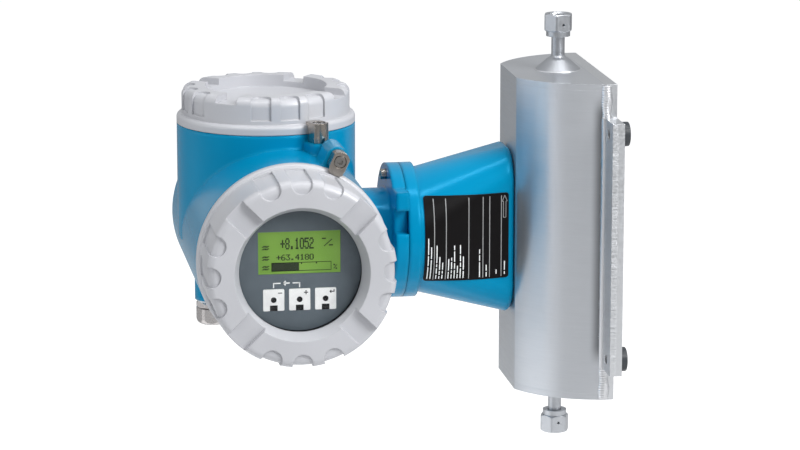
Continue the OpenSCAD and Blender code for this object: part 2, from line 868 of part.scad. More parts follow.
// Circuit board on edge between the discs of the carrier, with blocks of components.
// A block is its place along and across the board, its width, its height and its length,
// as shares of the board and of the gap between boards.
module circuit_board(row, blocks) {
    l = basket_top - basket_bottom - basket_t + board_slot - fit_gap;
    at_front() translate([0, row * board_gap, basket_bottom + basket_t - board_slot]) {
        translate([-board_w / 2, -board_t / 2, 0]) cube([board_w, board_t, l]);
        for (b = blocks) translate([b[0] * board_w, board_t / 2, b[1] * l])
            cube([b[2] * board_w, b[3] * board_gap, b[4] * l]);
    }
}

module power_board() {
    color("darkgreen") circuit_board(-1, [[-0.42, 0.15, 0.3, 0.66, 0.55], [0, 0.2, 0.2, 0.55, 0.35],
        [0.26, 0.15, 0.16, 0.45, 0.65]]);
}

module amplifier_board() {
    color("darkgreen") circuit_board(0, [[-0.39, 0.2, 0.23, 0.17, 0.35], [-0.03, 0.3, 0.16, 0.14, 0.25],
        [0.23, 0.15, 0.2, 0.22, 0.6]]);
}

module io_board() {
    color("darkgreen") circuit_board(1, [for (i = [-1, 0, 1]) [i * 0.26 - 0.08, 0.2, 0.16, 0.45, 0.5]]);
}

// Row of lift clamps for the supply, signal and output wires
module terminal_block() {
    color("seagreen") translate([barrel_x, block_y, shelf_z]) difference() {
        translate([-block_w / 2, -block_d / 2, 0]) cube([block_w, block_d, block_h]);
        for (i = [0 : clamp_count - 1])
            translate([(i - (clamp_count - 1) / 2) * block_w / (clamp_count + 0.5), 0, 0]) {
                translate([0, -block_d * 0.18, block_h / 2]) cylinder(r = clamp_r, h = block_h, $fn = 24);
                translate([-wire_hole / 2, 0, block_h / 4]) cube([wire_hole, block_d, wire_hole]);
            }
    }
}

module earth_terminal() {
    color("gold") translate([barrel_x - shelf_w / 2 + 4, block_y + block_d / 2 + 4, shelf_z]) difference() {
        union() {
            cylinder(r = 2.6, h = 1.5);
            cylinder(r = 2, h = 6, $fn = 24);
        }
        translate([-3, -0.5, 5]) cube([6, 1, 2]);
    }
}

// ---- Display module ----

module display_case() {
    color([0.25, 0.26, 0.28]) at_front() {
        translate([0, 0, hub_z]) cylinder(r = hub_r, h = case_z - hub_z + cut);
        translate([0, 0, case_z]) cylinder(r = case_r, h = case_top - case_z);
        translate([0, 0, case_top - cut]) cylinder(r = face_r, h = face_z - case_top + cut);
    }
}

// Place of each key field on the face, counted from the left
module at_keys() {
    for (i = [-1, 0, 1]) translate([i * key_pitch, -key_y, face_top]) children();
}

module display_faceplate() {
    color([0.33, 0.38, 0.42]) at_front() difference() {
        translate([0, 0, face_z]) cylinder(r = face_r, h = face_t);
        translate([-lcd_w / 2, lcd_y - lcd_h / 2, face_top - 1]) cube([lcd_w, lcd_h, 1 + cut]);
        at_keys() {
            translate([0, 0, -inlay]) linear_extrude(inlay + cut) round_rect(key_w, key_h, 0.8);
            translate([0, 0, -lens_drop]) cylinder(d = lens_d, h = lens_drop + cut);
        }
    }
}

module lcd_panel() {
    color([0.45, 0.7, 0.2]) at_front()
        translate([-lcd_w / 2 + fit_gap, lcd_y - lcd_h / 2 + fit_gap, face_top - 1])
            cube([lcd_w - 2 * fit_gap, lcd_h - 2 * fit_gap, 0.7]);
}

// White fields round the optical keys, each with a lens hole and a gap at its foot
module key_fields() {
    color("white") at_front() at_keys() translate([0, 0, -inlay]) linear_extrude(field_t) difference() {
        round_rect(key_w - 2 * fit_gap, key_h - 2 * fit_gap, 0.7);
        circle(d = lens_d + 2 * fit_gap);
        translate([-mark_w / 2, -key_h / 2 - cut]) square([mark_w, mark_h + cut]);
    }
}

// Dark lenses of the optical keys and the receiver windows under them
module key_windows() {
    color([0.12, 0.13, 0.14]) at_front() at_keys() {
        translate([0, 0, -lens_drop]) cylinder(d = lens_d - 2 * fit_gap, h = lens_drop + 0.1);
        translate([-mark_w / 2 + fit_gap, -key_h / 2 + fit_gap, -inlay])
            cube([mark_w - 2 * fit_gap, mark_h - 2 * fit_gap, field_t]);
    }
}

// ---- Covers ----

// Turned blank of a cover: skirt, flange and crown with a rounded shoulder
module cover_blank(brim_r, crown_r, h, skirt_r, inset = 0) {
    translate([0, 0, -skirt_l]) cylinder(r = skirt_r, h = skirt_l + brim_t);
    translate([0, 0, seat]) soft_disc(brim_r, brim_t, 2.5);
    translate([0, 0, seat]) soft_disc(crown_r - inset, h - seat - inset, shoulder_r);
    // small fillet at the foot of the crown, short enough to pass under the lip of a clamp
    foot = min(1, (brim_r - crown_r) / 6);
    translate([0, 0, seat + brim_t - foot / 2])
        cylinder(r1 = crown_r + foot, r2 = crown_r - foot, h = 2 * foot);
}

// Plan of one grip pocket: round inside and open to the side of the crown
module pocket_plan(crown_r) {
    translate([crown_r - pocket_reach + pocket_w / 2, 0]) {
        circle(d = pocket_w);
        translate([0, -pocket_w / 2]) square([pocket_reach + 4, pocket_w]);
    }
}

// Three grip pockets in each quarter, between four wrench slots
module cover_grips(brim_r, crown_r, h, skirt_r, inner_r, turn) {
    difference() {
        for (q = [0 : 90 : 270], i = [-1, 0, 1]) rotate(turn + q + i * pocket_step)
            translate([0, 0, seat + brim_t + 3]) linear_extrude(h) pocket_plan(crown_r);
        cover_blank(brim_r, crown_r, h, skirt_r, pocket_t);
    }
    for (q = [45 : 90 : 315]) rotate(turn + q)
        translate([inner_r, -slot_w / 2, h - slot_t]) cube([crown_r, slot_w, slot_t + cut]);
}

module front_cover() {
    color([0.75, 0.75, 0.77]) at_front() difference() {
        cover_blank(barrel_r, front_crown_r, front_h, front_skirt_r);
        cover_grips(barrel_r, front_crown_r, front_h, front_skirt_r, window_r, slots_front - 45);
        // room for the display module
        translate([0, 0, -skirt_l - cut]) cylinder(r = cover_room_r, h = skirt_l + glass_z + cut);
        // seat of the glass, and the flared opening in front of it
        cylinder(r = glass_r + fit_gap, h = lip_z);
        translate([0, 0, lip_z - cut]) cylinder(r = window_r, h = window_deep + 2 * cut);
        translate([0, 0, lip_z])
            cylinder(r1 = window_r, r2 = window_r + window_flare, h = window_deep + 0.01);
    }
}

module cover_window() {
    color([0.8, 0.9, 0.95, 0.3]) at_front() translate([0, 0, glass_z]) cylinder(r = glass_r, h = glass_t);
}

module window_gasket() {
    color([0.1, 0.1, 0.1]) at_front() translate([0, 0, glass_z + glass_t])
        ring(glass_r, window_r + 0.4, gasket_t);
}

// Threaded ring that holds the glass from behind
module window_ring() {
    color([0.3, 0.3, 0.32]) at_front() translate([0, 0, glass_z - ring_t])
        ring(cover_room_r - fit_gap, ring_in, ring_t);
}

module front_cover_seal() {
    color([0.08, 0.08, 0.08]) at_front() translate([0, 0, -seat_seal_r])
        cord_ring(rim_bore + 4.2, seat_seal_r);
}

module top_cover() {
    color([0.78, 0.78, 0.8]) at_top() difference() {
        cover_blank(tower_r, top_crown_r, top_h, top_skirt_r);
        cover_grips(tower_r, top_crown_r, top_h, top_skirt_r, recess_r - 2, top_turn);
        translate([0, 0, cap_face]) cylinder(r = recess_r, h = recess_t + cut);
        translate([0, 0, -skirt_l - cut])
            cylinder(r = top_skirt_r - skirt_wall, h = skirt_l + cap_face - cap_wall + cut);
    }
}

module top_cover_seal() {
    color([0.08, 0.08, 0.08]) at_top() translate([0, 0, -seat_seal_r])
        cord_ring(tower_bore + 4, seat_seal_r);
}

// ---- Clamps ----

// Steel clamp: a block beside the flange of a cover, with a lip that lies over the flange
module claw() {
    difference() {
        union() {
            translate([0, 0, claw_base]) linear_extrude(claw_top - claw_base) intersection() {
                circle(r = claw_r);
                translate([-claw_r, -claw_w / 2]) square([2 * claw_r, claw_w]);
                union() {
                    circle(r = claw_end);
                    translate([0, -claw_w / 2]) square([claw_r, claw_w]);
                }
            }
            // the lip ends round, so that it swings clear of the crown
            translate([0, 0, seat + brim_t + gap]) intersection() {
                cylinder(r = claw_out + claw_lip, h = claw_top - seat - brim_t - gap);
                translate([0, -claw_w / 2 + 0.3, 0])
                    cube([2 * claw_out, claw_w - 0.6, claw_top - seat - brim_t - gap]);
            }
        }
        translate([0, 0, claw_top - claw_sink]) cylinder(r = claw_sink_r, h = claw_sink + cut);
        translate([0, 0, claw_base - cut]) cylinder(r = claw_screw_r + gap, h = claw_top - claw_base + cut);
    }
}

// Cylinder-head screw through a clamp into its boss
module claw_screw() {
    difference() {
        union() {
            translate([0, 0, claw_top - claw_sink + fit_gap]) cylinder(r = claw_head_r, h = claw_sink - 0.4);
            translate([0, 0, -13]) cylinder(r = claw_screw_r, h = 13 + claw_top - claw_sink + 1);
        }
        translate([0, 0, claw_top - 2.5]) cylinder(r = 2, h = 3, $fn = 6);
    }
}

module front_claw() {
    color([0.6, 0.58, 0.55]) at_front_claw() claw();
}

module top_claw() {
    color([0.6, 0.58, 0.55]) at_top_claw() claw();
}

module claw_screws() {
    color("silver") {
        at_front_claw() claw_screw();
        at_top_claw() claw_screw();
    }
}

// ---- Cable glands ----

module gland_seals() {
    color("white") for (side = [-1, 1]) at_entry(side) ring(gland_seal_r, gland_r + 0.2, gland_seal_t);
}

module gland_bodies() {
    color("silver") for (side = [-1, 1]) at_entry(side) difference() {
        union() {
            translate([0, 0, -gland_thread_l]) cylinder(r = gland_r, h = gland_thread_l + gland_seal_t + cut);
            translate([0, 0, gland_seal_t]) turned_hex(gland_af, gland_hex_l, 0.8);
            translate([0, 0, gland_seal_t]) cylinder(r = gland_r, h = gland_hex_l + gland_nose);
        }
        translate([0, 0, -gland_thread_l - cut])
            cylinder(r = cable_r + 0.5, h = 2 * gland_thread_l + gland_nose + 20);
        translate([0, 0, grommet_start]) cylinder(r = grommet_r, h = gland_nut_l);
    }
}

// Rubber insert that grips the cable
module gland_grommets() {
    color([0.15, 0.15, 0.16]) for (side = [-1, 1]) at_entry(side)
        translate([0, 0, grommet_start])
            ring(grommet_r - fit_gap, cable_r, grommet_end - grommet_start);
}

// Domed nut that presses the insert on the cable
module gland_nut() {
    difference() {
        translate([0, 0, nut_start]) intersection() {
            cylinder(d = gland_af / cos(30), h = gland_nut_l, $fn = 6);
            soft_disc(gland_af / 2 + 0.9, gland_nut_l, 4);
        }
        translate([0, 0, nut_start - cut]) cylinder(r = gland_r + gap, h = gland_nose + 0.5 + cut);
        cylinder(r = grommet_r + gap, h = nut_start + gland_nut_l + cut);
    }
}

module left_gland_nut() {
    color("silver") at_entry(-1) rotate(10) gland_nut();
}

module right_gland_nut() {
    color("silver") at_entry(1) rotate(25) gland_nut();
}

sensor_shell();
end_plates();
back_plate();
weld_beads();
wall_spacers();
upper_stub();
lower_stub();
upper_nut();
lower_nut();
port_seals();
measuring_tube();
tube_carrier();
drive_coil();
pickup_coils();
tube_magnets();
temperature_sensor();
signal_feedthrough();
neck_cone();
nameplate();
swivel_seal();
transmitter_housing();
swivel_screws();
electronics_carrier();
power_board();
amplifier_board();
io_board();
terminal_block();
earth_terminal();
display_case();
display_faceplate();
lcd_panel();
key_fields();
key_windows();
front_cover();
cover_window();
window_gasket();
window_ring();
front_cover_seal();
top_cover();
top_cover_seal();
front_claw();
top_claw();
claw_screws();
gland_seals();
gland_bodies();
gland_grommets();
left_gland_nut();
right_gland_nut();
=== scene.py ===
# %% [markdown]
# # A Coriolis flow meter, dressed for its portrait
# A Coriolis meter weighs what flows through a pipe: a bent tube swings inside a sealed steel body.
# This one hangs on a wall by the ears of its back plate. Its parts come from the CAD model as a
# fixed frame, and this lesson gives them their finishes, their print and their finest details.

# %% Load the frame
import json
import math
import bpy
import bmesh
from mathutils import Matrix, Vector
from mathutils.bvhtree import BVHTree


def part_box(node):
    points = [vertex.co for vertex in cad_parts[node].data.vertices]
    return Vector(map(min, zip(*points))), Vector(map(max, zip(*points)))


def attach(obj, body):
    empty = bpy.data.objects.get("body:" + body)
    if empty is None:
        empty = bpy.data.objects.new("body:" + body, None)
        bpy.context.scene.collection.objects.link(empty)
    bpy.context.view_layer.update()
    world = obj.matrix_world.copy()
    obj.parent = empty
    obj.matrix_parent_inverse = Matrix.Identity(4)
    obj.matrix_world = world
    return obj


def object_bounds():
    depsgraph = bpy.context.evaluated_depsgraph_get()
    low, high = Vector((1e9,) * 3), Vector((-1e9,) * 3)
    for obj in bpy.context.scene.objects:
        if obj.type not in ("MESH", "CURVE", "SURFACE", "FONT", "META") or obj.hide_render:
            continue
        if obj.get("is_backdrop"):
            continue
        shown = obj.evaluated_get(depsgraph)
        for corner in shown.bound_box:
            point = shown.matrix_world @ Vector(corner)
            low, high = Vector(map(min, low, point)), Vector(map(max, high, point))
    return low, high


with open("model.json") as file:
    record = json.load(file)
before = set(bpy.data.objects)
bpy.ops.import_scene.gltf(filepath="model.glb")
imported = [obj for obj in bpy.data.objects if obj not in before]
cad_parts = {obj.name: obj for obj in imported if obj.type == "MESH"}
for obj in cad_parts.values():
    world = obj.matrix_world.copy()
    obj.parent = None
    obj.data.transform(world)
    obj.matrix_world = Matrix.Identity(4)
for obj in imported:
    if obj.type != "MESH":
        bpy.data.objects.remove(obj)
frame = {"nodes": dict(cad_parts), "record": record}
nodes = frame["nodes"]
cad_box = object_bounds()
mount_of = {m["name"]: m for m in frame["record"]["mounts"]}
MM = 0.001
PRINT_T = 0.05 * MM      # thickness of all print
print(len(nodes), "nodes, from", [round(v, 3) for v in cad_box[0]], "to", [round(v, 3) for v in cad_box[1]])

# %% [markdown]
# ## The camera
# The meter is seen from far away through a long lens, so its upright edges stay almost parallel.
# The camera stands a little to the left of the display and looks slightly down. Its place is
# worked out from the pipe axis: how far away, how much to the side and how high.

# %% Camera
pipe_axis = Vector((mount_of["upper_port"]["pos_m"][0], 0, 0))
YAW, PITCH = math.radians(9.0), math.radians(12.0)
DISTANCE = 2.304               # from the camera to the pipe axis, in metres
ASIDE, RAISED = 0.105, 0.0006  # how far the middle of the view lies left of the axis and under it
LENS, SENSOR = 154.3, 36       # in millimetres

level_right = Vector((math.cos(YAW), -math.sin(YAW), 0))
view_flat = Vector((math.sin(YAW), math.cos(YAW), 0))
view_line = (view_flat * math.cos(PITCH) + Vector((0, 0, -math.sin(PITCH)))).normalized()
level_up = level_right.cross(view_line)
bpy.ops.object.camera_add()
camera = bpy.context.object
camera.data.lens = LENS
camera.data.sensor_width = SENSOR
camera.data.clip_end = 50
camera.location = pipe_axis - view_line * DISTANCE - level_right * ASIDE - level_up * RAISED
camera.rotation_euler = Matrix((level_right, level_up, -view_line)).transposed().to_euler()
bpy.context.scene.camera = camera
print("camera at", [round(v, 3) for v in camera.location])

# %% [markdown]
# ## Studio light
# A studio lights such a meter through large white cloths, which metal, glass and paint all mirror.
# Both the tent and the finishes are built from nodes, so a few small functions add and link them.
# The Standard view keeps the colours as they are given.

# %% Colour and node helpers
scene = bpy.context.scene
scene.view_settings.view_transform = "Standard"


def srgb(hex_colour):
    """Turns a six-digit sRGB colour into the linear colour that the shaders take."""
    values = [int(hex_colour[i:i + 2], 16) / 255 for i in (0, 2, 4)]
    linear = [v / 12.92 if v <= 0.04045 else ((v + 0.055) / 1.055) ** 2.4 for v in values]
    return (*linear, 1.0)


def add_node(tree, kind, settings=None, inputs=None, **links):
    """Adds a node, sets its properties and input values, and links the named inputs."""
    made = tree.nodes.new(kind)
    for name, value in (settings or {}).items():
        setattr(made, name, value)
    for name, value in (inputs or {}).items():
        made.inputs[name].default_value = value
    for name, source in links.items():
        target = int(name[1:]) if name[0] == "i" and name[1:].isdigit() else name.replace("_", " ")
        tree.links.new(source, made.inputs[target])
    return made


def math_node(tree, operation, *values):
    """A Math node whose inputs are sockets or plain numbers."""
    made = tree.nodes.new("ShaderNodeMath")
    made.operation = operation
    for slot, value in enumerate(values):
        if isinstance(value, (int, float)):
            made.inputs[slot].default_value = value
        else:
            tree.links.new(value, made.inputs[slot])
    return made.outputs[0]


def stretch_range(tree, source, low, high, to_low, to_high):
    """Maps a value from one range on to another, smoothly and within its ends."""
    made = add_node(tree, "ShaderNodeMapRange", {"interpolation_type": "SMOOTHSTEP"}, Value=source)
    for name, value in zip(("From Min", "From Max", "To Min", "To Max"), (low, high, to_low, to_high)):
        made.inputs[name].default_value = value
    return made.outputs[0]


# %% [markdown]
# ### The tent
# The cloths are a world of even grey, paler overhead and palest on the left, where it draws the
# bright band down the steel. Real cloths could stand there as meshes, but a world is simpler and
# lights all sides at once. Only the camera sees pure white behind the meter.

# %% The tent
PALEST = Vector((-1.0, -0.04, 0)).normalized()  # the way to the palest part of the tent
PALE_EDGE = 0.76                                # cosine of the angle at which that part ends
TENT_GREY, TENT_TOP = 0.45, 0.62                # how bright the tent is low down and overhead
TENT_COLOUR = (0.97, 0.985, 1.0, 1)
WHITE = (1, 1, 1, 1)


def pale_lobe(tree, direction, gain):
    """How much paler the tent is towards its palest part."""
    flat = add_node(tree, "ShaderNodeVectorMath", {"operation": "MULTIPLY"}, i0=direction)
    flat.inputs[1].default_value = (1, 1, 0)
    unit = add_node(tree, "ShaderNodeVectorMath", {"operation": "NORMALIZE"}, i0=flat.outputs[0])
    facing = add_node(tree, "ShaderNodeVectorMath", {"operation": "DOT_PRODUCT"}, i0=unit.outputs[0])
    facing.inputs[1].default_value = PALEST
    return stretch_range(tree, facing.outputs["Value"], PALE_EDGE, 1.0, 0.0, gain)


def glossy_share(tree, rays):
    """The palest part shows in full on metal and gloss, and adds less to the plain light."""
    return stretch_range(tree, rays.outputs["Is Glossy Ray"], 0.0, 1.0, 0.5, 1.0)


def make_world():
    """The tent of cloth, with pure white for the camera alone."""
    world = bpy.data.worlds.new("studio")
    scene.world = world
    world.use_nodes = True
    tree = world.node_tree
    tree.nodes.clear()
    rays = add_node(tree, "ShaderNodeLightPath")
    place = add_node(tree, "ShaderNodeTexCoord").outputs["Generated"]
    height = add_node(tree, "ShaderNodeSeparateXYZ", Vector=place).outputs["Z"]
    lobe = math_node(tree, "MULTIPLY", pale_lobe(tree, place, 1.15),
                     stretch_range(tree, height, 0.2, 0.6, 1.0, 0.0))
    level = math_node(tree, "MULTIPLY_ADD", lobe, glossy_share(tree, rays),
                      stretch_range(tree, height, 0.1, 0.95, TENT_GREY, TENT_TOP))
    tent = add_node(tree, "ShaderNodeBackground", inputs={"Color": TENT_COLOUR}, Strength=level)
    white = add_node(tree, "ShaderNodeBackground", inputs={"Color": WHITE, "Strength": 1.0})
    choice = add_node(tree, "ShaderNodeMixShader", i0=rays.outputs["Is Camera Ray"],
                      i1=tent.outputs[0], i2=white.outputs[0])
    add_node(tree, "ShaderNodeOutputWorld", Surface=choice.outputs[0])


make_world()
print("world:", scene.world.name, "with", len(scene.world.node_tree.nodes), "nodes")

# %% [markdown]
# ### Lamps and floor
# A long strip light overhead draws the streak along the blue neck, and the key stands high at the
# front right. The floor is grey to the light and white to the camera, and it keeps the shadow. A
# plain white floor would be simpler, but it would light the underside of the meter too much.

# %% Lamps and floor


def soft_box(name, place, target, width, height, power):
    """A rectangular lamp that faces a target."""
    bpy.ops.object.light_add(type="AREA", location=place)
    lamp = bpy.context.object
    lamp.name = name
    lamp.data.shape = "RECTANGLE"
    lamp.data.size, lamp.data.size_y = width, height
    lamp.data.energy = power
    lamp.rotation_euler = (Vector(target) - Vector(place)).to_track_quat("-Z", "Y").to_euler()


FLOOR_SIZE, FLOOR_DROP = 12, 0.25  # in metres, and the drop is from the meter's lowest point


def make_floor(height):
    """A plain floor. The camera sees its shadows on white, and the meter sees a grey cloth."""
    bpy.ops.mesh.primitive_plane_add(size=FLOOR_SIZE, location=(0, 0, height))
    floor = bpy.context.object
    floor.name = "floor"
    material = bpy.data.materials.new("floor_cloth")
    material.use_nodes = True
    tree = material.node_tree
    tree.nodes.clear()
    rays = add_node(tree, "ShaderNodeLightPath")
    place = add_node(tree, "ShaderNodeTexCoord").outputs["Object"]
    reach = add_node(tree, "ShaderNodeVectorMath", {"operation": "LENGTH"}, i0=place).outputs["Value"]
    level = math_node(tree, "MULTIPLY_ADD", pale_lobe(tree, place, 0.5),
                      glossy_share(tree, rays), stretch_range(tree, reach, 0.9, 2.2, 0.74, TENT_GREY))
    cloth = add_node(tree, "ShaderNodeBsdfDiffuse", Color=level)
    shadowed = add_node(tree, "ShaderNodeBsdfDiffuse", inputs={"Color": (0.8, 0.8, 0.8, 1)})
    glow = add_node(tree, "ShaderNodeEmission", inputs={"Strength": 0.53})
    white = add_node(tree, "ShaderNodeAddShader", i0=shadowed.outputs[0], i1=glow.outputs[0])
    choice = add_node(tree, "ShaderNodeMixShader", i0=rays.outputs["Is Camera Ray"],
                      i1=cloth.outputs[0], i2=white.outputs[0])
    add_node(tree, "ShaderNodeOutputMaterial", Surface=choice.outputs[0])
    floor.data.materials.append(material)
    floor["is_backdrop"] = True


middle = (cad_box[0] + cad_box[1]) / 2
soft_box("key", middle + Vector((1.3, -1.5, 1.4)), middle, 1.1, 1.1, 45)
soft_box("strip", middle + Vector((0.0, -0.33, 1.5)), middle, 2.2, 0.12, 11)
make_floor(cad_box[0].z - FLOOR_DROP)
print("floor at", round(cad_box[0].z - FLOOR_DROP, 3), "m")

# %% [markdown]
# ## Finishes
# Each finish is built from what the real one is. Every pattern reads Object coordinates, which are
# metres here, so a grain of one millimetre is a scale of a thousand. Real grains are often finer
# than that. They are drawn about one millimetre across, as coarse as they need to be to show.

# %% Material helpers


def new_material(name, base, metallic=0.0, roughness=0.5, **sockets):
    """A material with a Principled shader. Returns the material, its tree and its shader."""
    material = bpy.data.materials.new(name)
    material.use_nodes = True
    tree = material.node_tree
    shader = tree.nodes["Principled BSDF"]
    shader.inputs["Base Color"].default_value = srgb(base)
    shader.inputs["Metallic"].default_value = metallic
    shader.inputs["Roughness"].default_value = roughness
    for socket, value in sockets.items():
        shader.inputs[socket.replace("_", " ")].default_value = value
    return material, tree, shader


def grain(tree, size_mm, detail=2.0, stretch=(1, 1, 1)):
    """Noise in Object coordinates whose grain is size_mm across, drawn out by stretch."""
    place = add_node(tree, "ShaderNodeTexCoord")
    turned = add_node(tree, "ShaderNodeMapping", inputs={"Scale": stretch}, Vector=place.outputs["Object"])
    made = add_node(tree, "ShaderNodeTexNoise", inputs={"Scale": 1 / (size_mm * MM), "Detail": detail},
                    Vector=turned.outputs["Vector"])
    return made.outputs["Fac"]


def span(tree, source, low, high):
    """Spreads the middle of a noise pattern over a range of values."""
    return stretch_range(tree, source, 0.3, 0.7, low, high)


def relief(tree, shader, height, distance_mm, strength=0.5, edge_mm=0.0):
    """Raises a pattern as bump and rounds the edges that are sharp in the mesh."""
    bump = add_node(tree, "ShaderNodeBump", inputs={"Strength": strength, "Distance": distance_mm * MM},
                    Height=height)
    if edge_mm:
        edge = add_node(tree, "ShaderNodeBevel", {"samples": 6}, {"Radius": edge_mm * MM})
        tree.links.new(edge.outputs["Normal"], bump.inputs["Normal"])
    tree.links.new(bump.outputs["Normal"], shader.inputs["Normal"])


def ridges(tree, shader, height, distance_mm):
    """Raises a second pattern on top of the relief that a finish already has."""
    normal = shader.inputs["Normal"]
    bump = add_node(tree, "ShaderNodeBump", inputs={"Strength": 1.0, "Distance": distance_mm * MM},
                    Height=height, Normal=normal.links[0].from_socket)
    tree.links.new(bump.outputs["Normal"], normal)


def blend(tree, share, first, second):
    """Mixes two sRGB colours by a pattern. The first may also be the output of another node."""
    mix = add_node(tree, "ShaderNodeMix", {"data_type": "RGBA"}, i0=share)
    if isinstance(first, str):
        mix.inputs[6].default_value = srgb(first)
    else:
        tree.links.new(first, mix.inputs[6])
    mix.inputs[7].default_value = srgb(second)
    return mix.outputs[2]


def tint(tree, shader, pattern, dark, light):
    """Varies the base colour between two sRGB colours by a pattern."""
    tree.links.new(blend(tree, pattern, dark, light), shader.inputs["Base Color"])


def give(material, *names):
    """Puts a material on CAD nodes in place of their plain one."""
    for name in names:
        mesh = nodes[name].data
        mesh.materials.clear()
        mesh.materials.append(material)


# %% [markdown]
# ### Powder coating
# The housing, the neck and the covers are die-cast aluminium under a sprayed and baked powder. The
# film is smooth, with a faint orange peel that blurs its highlights, and it rounds every cast edge.
# Sharp mesh edges could be bevelled, but the CAD meshes stay as they are, so the shader's Bevel
# node rounds them to the eye. The blue film has more gloss than the grey one.

# %% Powder coatings


def powder_coat(name, dark, light, roughness, edge_mm, shine, sheen):
    """A baked powder film. Its edges are rounded by edge_mm, and sheen colours its gloss."""
    material, tree, shader = new_material(name, light, roughness=roughness, Specular_IOR_Level=shine,
                                          Specular_Tint=srgb(sheen))
    tint(tree, shader, span(tree, grain(tree, 45, 1.0), 0, 1), dark, light)
    relief(tree, shader, grain(tree, 1.2, 1.0), 0.012, 0.5, edge_mm)
    return material


blue = powder_coat("powder_blue_die_casting", "0085b0", "008ab6", 0.2, 3.5, 0.6, "50c0f0")
grey = powder_coat("powder_grey_die_casting", "babbc0", "bfc0c5", 0.32, 1.0, 0.6, "ffffff")
give(blue, "transmitter_housing", "neck_cone")
give(grey, "front_cover", "top_cover")
print("coated:", blue.name, "and", grey.name)

# %% [markdown]
# ### Stainless steel
# The shell is rolled from sheet and brushed across, so very fine lines run round it and its
# reflections are soft. Thousands of modelled lines would be needed, so a stretched noise and the
# shader's anisotropy stand for them. The back plate is blasted and sparkles a little. Its long
# edges were cut by a laser, which leaves fine ridges across one half of their thickness. The nuts
# are turned from hexagonal bar, and their bores carry a thread. The clamps are cast and then
# tumbled, so they are glossy and slightly uneven, and the screws are plated and smooth.

# The glands are brass under bright nickel, a little warmer than steel. What lies inside is plain.

# %% Stainless steels


def steel(name, base, roughness, grain_mm=1.0, stretch=(1, 1, 1), depth=0.004, edge_mm=0.4, spread=0.05):
    """Steel whose grain changes both its gloss and its height."""
    material, tree, shader = new_material(name, base, metallic=1.0, roughness=roughness)
    line = grain(tree, grain_mm, 3.0, stretch)
    tree.links.new(span(tree, line, roughness - spread, roughness + spread), shader.inputs["Roughness"])
    relief(tree, shader, line, depth, 0.5, edge_mm)
    return material, tree, shader


def object_axes(tree):
    """The three Object coordinates of a point, as sockets."""
    place = add_node(tree, "ShaderNodeTexCoord")
    return add_node(tree, "ShaderNodeSeparateXYZ", Vector=place.outputs["Object"]).outputs


def threaded(tree, shader, axis_x, bore_r, pitch):
    """Adds a thread inside the bore round an upright axis."""
    axes = object_axes(tree)
    across = math_node(tree, "SUBTRACT", axes["X"], axis_x)
    reach = math_node(tree, "SQRT", math_node(tree, "ADD", math_node(tree, "MULTIPLY", across, across),
                                              math_node(tree, "MULTIPLY", axes["Y"], axes["Y"])))
    inside = math_node(tree, "LESS_THAN", reach, bore_r)
    turn = math_node(tree, "DIVIDE", math_node(tree, "ARCTAN2", axes["Y"], across), math.tau)
    along = math_node(tree, "ADD", math_node(tree, "DIVIDE", axes["Z"], pitch), turn)
    wave = math_node(tree, "PINGPONG", along, 0.5)
    ridges(tree, shader, math_node(tree, "MULTIPLY", wave, inside), 0.8)


def laser_cut(tree, shader, face_x, depth, face_y):
    """Adds the fine ridges of a laser cut to the half of a plate's long edges next to its front."""
    axes = object_axes(tree)
    inner = stretch_range(tree, axes["X"], face_x + 0.35 * depth, face_x + 0.55 * depth, 1.0, 0.0)
    edge = math_node(tree, "GREATER_THAN", math_node(tree, "ABSOLUTE", axes["Y"]), face_y)
    ridge = grain(tree, 1.7, 1.0, (0.15, 0.15, 1.0))
    where = math_node(tree, "MULTIPLY", inner, edge)
    ridges(tree, shader, math_node(tree, "MULTIPLY", ridge, where), 0.6)


def brushed_round(tree, shader, plate_x):
    """Brushes upright faces along lines that run round them, and leaves level faces satin.

    Along the seams with the back plate, whose front is at plate_x, the colour is darkened as painted
    shade, which stands for the shadow in the gap beside the weld."""
    facing = add_node(tree, "ShaderNodeNewGeometry").outputs["Normal"]
    level = math_node(tree, "ABSOLUTE", add_node(tree, "ShaderNodeSeparateXYZ", Vector=facing).outputs["Z"])
    brushed = blend(tree, grain(tree, 1.1, 2.0, (0.08, 0.08, 1.0)), "cacdd2", "d0d3d8")
    colour = blend(tree, stretch_range(tree, level, 0.4, 0.7, 0.0, 1.0), brushed, "c0c3c8")
    place = object_axes(tree)
    from_middle = math_node(tree, "ABSOLUTE", math_node(tree, "SUBTRACT", place["Z"], SEAM_MIDDLE))
    along = stretch_range(tree, from_middle, SEAM_HALF - SEAM_FADE, SEAM_HALF, 1.0, 0.0)
    across = stretch_range(tree, place["X"], plate_x - SEAM_REACH, plate_x - 2 * MM, 0.0, 0.75)
    # painted shade: the shell turns dark along its seams with the back plate, for the shadow in the gap
    # beside the weld bead
    painted_seam_shade = blend(tree, math_node(tree, "MULTIPLY", along, across), colour, "4c4e52")
    tree.links.new(painted_seam_shade, shader.inputs["Base Color"])
    shader.inputs["Metallic"].default_value = 0.8
    shader.inputs["Anisotropic Rotation"].default_value = 0.25
    tree.links.new(stretch_range(tree, level, 0.4, 0.7, 0.85, 0.0), shader.inputs["Anisotropic"])
    round_it = add_node(tree, "ShaderNodeTangent", {"direction_type": "RADIAL", "axis": "Z"})
    tree.links.new(round_it.outputs[0], shader.inputs["Tangent"])


